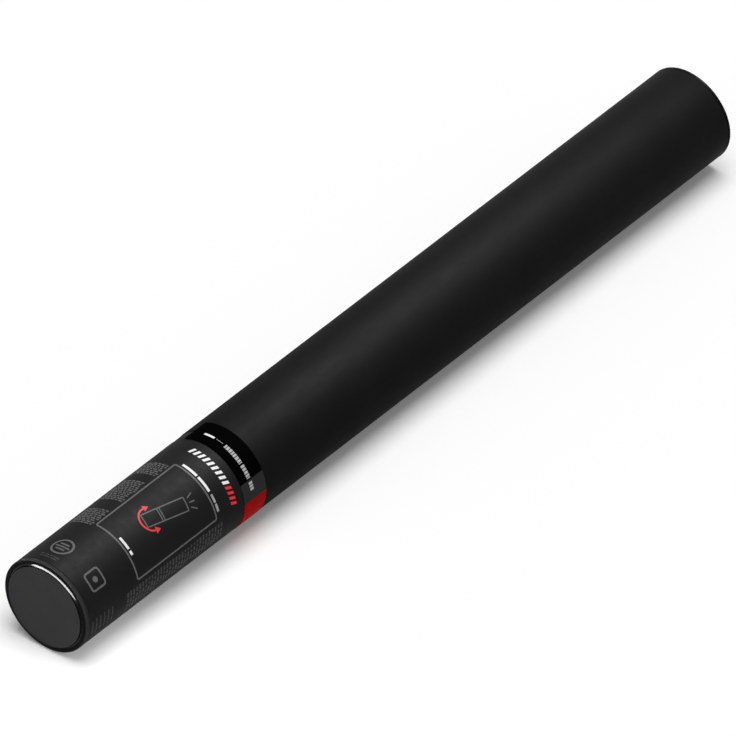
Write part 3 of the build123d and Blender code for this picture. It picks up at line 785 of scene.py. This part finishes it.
bpy.ops.object.select_all(action="DESELECT")
bpy.ops.mesh.primitive_cylinder_add(vertices=tube_sides, radius=plug_radius, depth=plug_flange,
                                    location=(plug_high.x - plug_flange / 2, 0, axis_height),
                                    rotation=along_tube)
plug = bpy.context.object
plug.name = "muzzle_plug"
bpy.ops.object.transform_apply(location=True, rotation=True, scale=True)
skirt_length = plug_high.x - plug_flange - plug_low.x
floor_back = plug_high.x - plug_recess - plug_floor
select_faces(plug, lambda face: face.normal.x < -end_facing)
bpy.ops.mesh.inset(thickness=plug_radius - plug_skirt_radius)
draw_out(-skirt_length)
bpy.ops.transform.resize(value=(1, plug_skirt_taper, plug_skirt_taper),
                         center_override=(plug_low.x, 0, axis_height))
bpy.ops.mesh.inset(thickness=plug_skirt_wall)
draw_out(floor_back - plug_low.x)
select_faces(plug, lambda face: face.normal.x > end_facing and face.center.x > plug_high.x - plug_flange / 2)
bpy.ops.mesh.inset(thickness=plug_radius - plug_skirt_radius + plug_skirt_wall)
draw_out(-plug_recess)
bpy.ops.mesh.inset(thickness=plug_boss_rim)
draw_out(plug_boss_height)
bpy.ops.object.mode_set(mode="OBJECT")
soften_edges(plug, plug_edge_rounding)
apply_modifiers(plug)
bpy.ops.object.shade_smooth_by_angle(angle=smooth_below)
plug.data.materials.append(cap_black)
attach(plug, "muzzle_cap")
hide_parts("muzzle_cap")

# Gas bottle in the grip: a drawn aluminium bottle with fine lines along its draw, a rubber filling plug in
# its base, and a turned brass-coloured neck with tool rings, on a flat rubber gasket.
along_draw = (0.05, 1, 1)
round_axis = (1, 0.01, 0.01)
alloy_dark = (0.55, 0.56, 0.57, 1)
alloy_light = (0.70, 0.71, 0.72, 1)
brass_dark = (0.62, 0.47, 0.22, 1)
brass_light = (0.75, 0.58, 0.28, 1)
bottle_alloy = new_finish("bottle_alloy", metallic=1.0)
vary_colour(bottle_alloy, grain(bottle_alloy, 500.0, stretch=along_draw), alloy_dark, alloy_light)
vary_roughness(bottle_alloy, grain(bottle_alloy, 300.0, stretch=along_draw), 0.28, 0.42)
turned_alloy = new_finish("turned_alloy", metallic=1.0)
vary_colour(turned_alloy, grain(turned_alloy, 2500.0, stretch=round_axis), brass_dark, brass_light)
vary_roughness(turned_alloy, grain(turned_alloy, 2500.0, stretch=round_axis), 0.2, 0.36)
emboss(turned_alloy, grain(turned_alloy, 4000.0, stretch=round_axis), 0.00001)
rubber = new_finish("rubber", specular=0.3)
vary_colour(rubber, grain(rubber, 400.0), (0.010, 0.010, 0.011, 1), (0.020, 0.020, 0.021, 1))
vary_roughness(rubber, grain(rubber, 700.0), 0.6, 0.75)
emboss(rubber, grain(rubber, 3000.0), 0.00002)


def finish_nodes(material, *names):
    """Gives CAD nodes that keep their own shape a finish."""
    for name in names:
        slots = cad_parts[name].data.materials
        slots.clear()
        slots.append(material)


finish_nodes(bottle_alloy, "gas_bottle")
finish_nodes(turned_alloy, "valve_neck")
finish_nodes(rubber, "neck_gasket", "fill_plug")

# Valve: a pale plastic stopper with two ring seals, held by three steel balls until the black collar in
# the grip turns and its ramps let them out. A washer and a sprung steel ring keep the collar in place.
steel = new_finish("steel", metallic=1.0)
vary_colour(steel, grain(steel, 300.0), (0.56, 0.57, 0.58, 1), (0.66, 0.67, 0.68, 1))
vary_roughness(steel, grain(steel, 800.0), 0.12, 0.24)
pale_plastic = new_finish("pale_plastic", specular=0.4)
vary_colour(pale_plastic, grain(pale_plastic, 120.0), (0.72, 0.70, 0.64, 1), (0.80, 0.78, 0.72, 1))
vary_roughness(pale_plastic, grain(pale_plastic, 500.0), 0.34, 0.46)
moulding = new_finish("moulding", specular=0.35)
vary_colour(moulding, grain(moulding, 150.0), (0.012, 0.012, 0.013, 1), (0.022, 0.022, 0.023, 1))
vary_roughness(moulding, grain(moulding, 500.0), 0.4, 0.55)
emboss(moulding, grain(moulding, 2600.0), 0.000015)
finish_nodes(steel, "snap_ring", "lock_ball_1", "lock_ball_2", "lock_ball_3")
finish_nodes(pale_plastic, "stopper", "thrust_washer")
finish_nodes(moulding, "release_collar")
finish_nodes(rubber, "stopper_seals")

# Breech: a black moulding glued into the barrel, which carries the neck, with a ring seal round it and a
# rubber buffer on its spider that catches the stopper.
finish_nodes(moulding, "breech_block")
finish_nodes(rubber, "breech_seal", "stop_buffer")

# Felt pieces: a thick wad that the gas drives up the barrel, and a ring that keeps the bottle from knocking.
# Both are punched from pressed wool felt, with soft worn edges and a dimpled surface.
felt_grain_size = 0.0011
felt_dimple_depth = 0.00035
felt_lump_size = 0.005
pad_hole_radius = 0.007
felt_sides = 128
felt = new_finish("felt", roughness=0.95, specular=0.1)
vary_colour(felt, grain(felt, 900.0, detail=8.0), (0.17, 0.165, 0.155, 1), (0.30, 0.29, 0.275, 1))
emboss(felt, grain(felt, 2600.0, detail=8.0), 0.00025, 0.8)
felt_lumps = bpy.data.textures.new("felt_lumps", "CLOUDS")
felt_lumps.noise_scale = felt_lump_size


def felt_disc(name, node, body, hole_radius=0.0):
    """A disc or ring of felt in the node's space: punched, remeshed soft, and dimpled inwards."""
    low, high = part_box(node)
    bpy.ops.object.select_all(action="DESELECT")
    bpy.ops.mesh.primitive_cylinder_add(vertices=felt_sides, radius=(high.y - low.y) / 2,
                                        depth=high.x - low.x, location=(low + high) / 2,
                                        rotation=along_tube)
    disc = bpy.context.object
    disc.name = name
    bpy.ops.object.transform_apply(location=True, rotation=True, scale=True)
    if hole_radius:
        select_faces(disc, lambda face: abs(face.normal.x) > end_facing)
        bpy.ops.mesh.inset(thickness=(high.y - low.y) / 2 - hole_radius)
        bpy.ops.mesh.bridge_edge_loops()
        bpy.ops.object.mode_set(mode="OBJECT")
    soften_edges(disc, 2 * felt_grain_size)
    pressed = disc.modifiers.new("pressed", "REMESH")
    pressed.mode = "VOXEL"
    pressed.voxel_size = felt_grain_size
    dimples = disc.modifiers.new("dimples", "DISPLACE")
    dimples.texture = felt_lumps
    dimples.strength = felt_dimple_depth
    dimples.mid_level = 1.0
    apply_modifiers(disc)
    bpy.ops.object.shade_smooth()
    disc.data.materials.append(felt)
    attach(disc, body)
    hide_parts(node)


felt_disc("felt_wad", "wad", "shot")
felt_disc("felt_ring", "base_pad", "handle", pad_hole_radius)

# Load: packs of foil slips, two side by side and three high, in three tiers along the barrel, and a card
# disc in front. A slip is thin paper with metal foil on its upper face, and lies a little crooked.
slip_length = 0.0545
slip_width = 0.0166
slip_thickness = 0.00012
slip_bow = 0.00012
slips_in_pack = 34
pack_columns = 2
pack_rows = 3
pack_gap = 0.0003
slip_shift = 0.00012
slip_swing = math.radians(0.25)
foil = new_finish("foil", metallic=1.0)
vary_colour(foil, grain(foil, 220.0), (0.74, 0.75, 0.77, 1), (0.90, 0.91, 0.93, 1))
vary_roughness(foil, grain(foil, 350.0), 0.14, 0.30)
emboss(foil, grain(foil, 260.0), 0.0001, 0.4)
slip_paper = new_finish("slip_paper", roughness=0.85, specular=0.2)
vary_colour(slip_paper, grain(slip_paper, 800.0), (0.66, 0.66, 0.65, 1), (0.80, 0.80, 0.79, 1))
card = new_finish("card", roughness=0.9, specular=0.15)
vary_colour(card, grain(card, 700.0, detail=8.0), (0.26, 0.21, 0.15, 1), (0.38, 0.31, 0.23, 1))
emboss(card, grain(card, 1800.0), 0.00004)

tier_low, tier_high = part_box("confetti_tier_1")
pack_height = (tier_high.z - tier_low.z - (pack_rows - 1) * pack_gap) / pack_rows
pack_width = (tier_high.y - tier_low.y - (pack_columns - 1) * pack_gap) / pack_columns
slip_pitch = (pack_height - slip_bow) / slips_in_pack
slip_middle = Vector(((tier_low.x + tier_high.x) / 2, tier_low.y + pack_width / 2, tier_low.z + slip_bow))
bpy.ops.object.select_all(action="DESELECT")
bpy.ops.mesh.primitive_plane_add(size=1, location=slip_middle)
packs = bpy.context.object
packs.name = "slip_stack_1"
bpy.ops.object.transform_apply(location=True, rotation=True, scale=True)
bpy.ops.object.mode_set(mode="EDIT")
bpy.ops.mesh.select_all(action="SELECT")
bpy.ops.transform.resize(value=(slip_length, slip_width, 1), center_override=slip_middle)
for quarter in (-0.25, 0.0, 0.25):
    bpy.ops.mesh.select_all(action="SELECT")
    bpy.ops.mesh.bisect(plane_co=slip_middle + Vector((quarter * slip_length, 0, 0)), plane_no=(1, 0, 0))
bpy.ops.object.mode_set(mode="OBJECT")
for vertex in packs.data.vertices:
    vertex.co.z -= slip_bow * (2 * (vertex.co.x - slip_middle.x) / slip_length) ** 2
slip_sheet = packs.modifiers.new("sheet", "SOLIDIFY")
slip_sheet.thickness = slip_thickness
slip_sheet.offset = 1.0
apply_modifiers(packs)
paint_by_place(packs, foil, slip_paper, choose=lambda face: 0 if face.normal.z > sheet_facing else 1)
slip_corners = len(packs.data.vertices)
for count, step in ((slips_in_pack, (0, 0, slip_pitch)), (pack_columns, (0, pack_width + pack_gap, 0)),
                    (pack_rows, (0, 0, pack_height + pack_gap))):
    rows = packs.modifiers.new("rows", "ARRAY")
    rows.count = count
    rows.use_relative_offset = False
    rows.use_constant_offset = True
    rows.constant_offset_displace = step
apply_modifiers(packs)

stacks = [packs]
for number in (2, 3):
    bpy.ops.object.select_all(action="DESELECT")
    packs.select_set(True)
    bpy.context.view_layer.objects.active = packs
    bpy.ops.object.duplicate()
    stack = bpy.context.object
    stack.name = f"slip_stack_{number}"
    bpy.ops.transform.translate(value=(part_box(f"confetti_tier_{number}")[0].x - tier_low.x, 0, 0))
    bpy.ops.object.transform_apply(location=True, rotation=True, scale=True)
    stacks.append(stack)
for number, stack in enumerate(stacks, start=1):
    corners = list(stack.data.vertices)
    for first in range(0, len(corners), slip_corners):
        slip = corners[first:first + slip_corners]
        centre = sum((corner.co for corner in slip), Vector()) / slip_corners
        shift = Vector((random.uniform(-slip_shift, slip_shift), random.uniform(-slip_shift, slip_shift), 0))
        swing = random.uniform(-slip_swing, slip_swing)
        for corner in slip:
            out = corner.co - centre
            corner.co += shift + Vector((-out.y * swing, out.x * swing, 0))
    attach(stack, "shot")
    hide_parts(f"confetti_tier_{number}")
finish_nodes(card, "top_disc")
